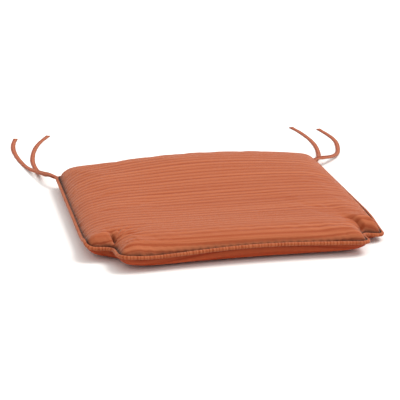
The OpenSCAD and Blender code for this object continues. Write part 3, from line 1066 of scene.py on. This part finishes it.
def zip_strip(name, section, half_length, material, ripple=0.0, replaces=()):
    """A strip along the zip with this closed section of (up, into) points, in millimetres."""
    along = np.linspace(-half_length, half_length, 149)
    section = np.array(section) / 1000
    sides = len(section)
    wave = ripple * (np.sin(along / 0.0132) + 0.6 * np.sin(along / 0.0057 + 1))
    verts = zip_places(along[:, None], section[None, :, 0] + wave[:, None], section[None, :, 1])
    faces = capped_tube_faces(len(along), sides)
    around = lengths_along(section)
    uvs = np.stack(np.meshgrid(along + half_length, around, indexing="ij"), -1).reshape(-1, 2)
    obj = facing_out(make_object(name, verts.reshape(-1, 3), faces, uvs))
    flat_ends(obj)
    finish_piece(obj, material, replaces=replaces)


def add_coil(name, side, replaces):
    """One coil of the zip: nylon monofilament, a tooth every 1.5 mm, clear of the middle."""
    pitch, wire, per_turn, sides = 0.0015, 0.00027, 10, 5
    turns = int(2 * (COIL_HALF - wire) / pitch)
    turn = np.linspace(0, 2 * math.pi * turns, turns * per_turn + 1)
    along = (turn / (2 * math.pi) - turns / 2) * pitch
    line = np.stack([along, side * (0.0012 + 0.0005 * np.cos(turn)), 0.0006 * np.sin(turn)], -1)
    forward = np.gradient(line, axis=0)
    forward /= np.linalg.norm(forward, axis=1)[:, None]
    out = np.stack([0 * turn, side * np.cos(turn), np.sin(turn)], -1)
    aside = np.cross(forward, out)
    aside /= np.linalg.norm(aside, axis=1)[:, None]
    out = np.cross(aside, forward)
    angle = np.arange(sides) * 2 * math.pi / sides
    verts = line[:, None] + wire * (
        out[:, None] * np.cos(angle)[None, :, None] + aside[:, None] * np.sin(angle)[None, :, None]
    )
    verts = zip_places(*verts.reshape(-1, 3).T)
    faces = capped_tube_faces(len(turn), sides)
    coil = facing_out(make_object(name, verts, faces))
    finish_piece(coil, COIL, replaces=(replaces,))


def rounded_tape(near, far):
    """Section of a woven tape from its corded edge to its outer edge."""
    way = 1 if far > near else -1
    return [
        (near, 0), (near + 0.1 * way, 0.28), (near + 0.6 * way, 0.30), (near + 1.0 * way, 0.22),
        (far - 0.2 * way, 0.22), (far, 0), (far - 0.2 * way, -0.22), (near + 1.0 * way, -0.22),
        (near + 0.6 * way, -0.30), (near + 0.1 * way, -0.28),
    ]


def paint(node, material):
    """Gives a CAD piece that shows as it is its material."""
    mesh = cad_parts[node].data
    mesh.materials.clear()
    mesh.materials.append(material)


UPPER_LIP = [
    (3.75, -1.00), (4.20, -1.15), (6.50, -1.15), (9.00, -1.15),
    (9.00, -0.35), (6.50, -0.35), (4.20, -0.35), (3.75, -0.50), (3.60, -0.75),
]
LOWER_LIP = [
    (-3.75, -1.00), (-4.20, -1.15), (-7.00, -1.15), (-8.60, -0.70), (-9.60, 0.60), (-10.20, 2.30),
    (-9.40, 2.40), (-8.90, 1.00), (-8.10, 0.10), (-6.80, -0.35), (-4.20, -0.35), (-3.75, -0.50),
    (-3.60, -0.75),
]
zip_strip("zip_tape_upper_woven", rounded_tape(2.0, 8.3), TAPE_HALF, TAPE,
          replaces=("zip_tape_upper",))
zip_strip("zip_tape_lower_woven", rounded_tape(-2.0, -6.9), TAPE_HALF, TAPE,
          replaces=("zip_tape_lower",))
zip_strip("zip_lip_upper_fabric", UPPER_LIP, LIP_HALF, LIP, ripple=0.00012)
zip_strip("zip_lip_lower_fabric", LOWER_LIP, LIP_HALF, LIP, ripple=0.00012)
add_coil("zip_coil_upper_nylon", 1, "zip_coil_upper")
add_coil("zip_coil_lower_nylon", -1, "zip_coil_lower")
for metal_node in ("zip_stop_open", "zip_stop_closed", "zip_slider", "zip_pull"):
    paint(metal_node, METAL)

# ------------------------------------------------------------------ floor and light


FLOOR = 30  # metres from the middle to each side
FLOOR_COLOUR = (0.82, 0.80, 0.785, 1)
SKY_LOW, SKY_HIGH, SKY_STRENGTH = (0.50, 0.49, 0.48, 1), (1.00, 0.99, 0.98, 1), 1.34
SUN_STRENGTH, SUN_WIDTH = 2.2, math.radians(32)
SUN_AZIMUTH, SUN_ELEVATION = math.radians(84), math.radians(58)


def add_stage():
    """The pale floor, a soft sky that is darker towards the horizon, and one broad sun."""
    corners = [(-FLOOR, -FLOOR, 0), (FLOOR, -FLOOR, 0), (FLOOR, FLOOR, 0), (-FLOOR, FLOOR, 0)]
    floor = make_object("floor", corners, [(0, 1, 2, 3)], smooth=False)
    n = Nodes("floor_white")
    n.set(Roughness=0.9, Specular_IOR_Level=0.1)
    n.shader.inputs["Base Color"].default_value = FLOOR_COLOUR
    floor.data.materials.append(n.material)
    floor.location.z = -0.0001
    world = bpy.data.worlds.new("studio")
    world.use_nodes = True
    tree = world.node_tree
    ray = tree.nodes.new("ShaderNodeTexCoord")
    split = tree.nodes.new("ShaderNodeSeparateXYZ")
    sky = tree.nodes.new("ShaderNodeValToRGB")
    sky.color_ramp.elements[0].color = SKY_LOW
    sky.color_ramp.elements[1].color = SKY_HIGH
    tree.links.new(ray.outputs["Generated"], split.inputs[0])
    tree.links.new(split.outputs[2], sky.inputs["Fac"])
    tree.links.new(sky.outputs["Color"], tree.nodes["Background"].inputs["Color"])
    tree.nodes["Background"].inputs["Strength"].default_value = SKY_STRENGTH
    bpy.context.scene.world = world
    light = bpy.data.lights.new("softbox", "SUN")
    light.energy = SUN_STRENGTH
    light.angle = SUN_WIDTH
    light.color = (1.0, 0.985, 0.965)
    key = bpy.data.objects.new("softbox", light)
    bpy.context.scene.collection.objects.link(key)
    azimuth, elevation = SUN_AZIMUTH, SUN_ELEVATION
    toward = Vector((
        math.sin(azimuth) * math.cos(elevation),
        math.cos(azimuth) * math.cos(elevation),
        math.sin(elevation),
    ))
    key.rotation_mode = "QUATERNION"
    key.rotation_quaternion = toward.to_track_quat("Z", "Y")
    settings = bpy.context.scene.view_settings
    settings.view_transform = "Standard"
    settings.look = "None"


add_stage()
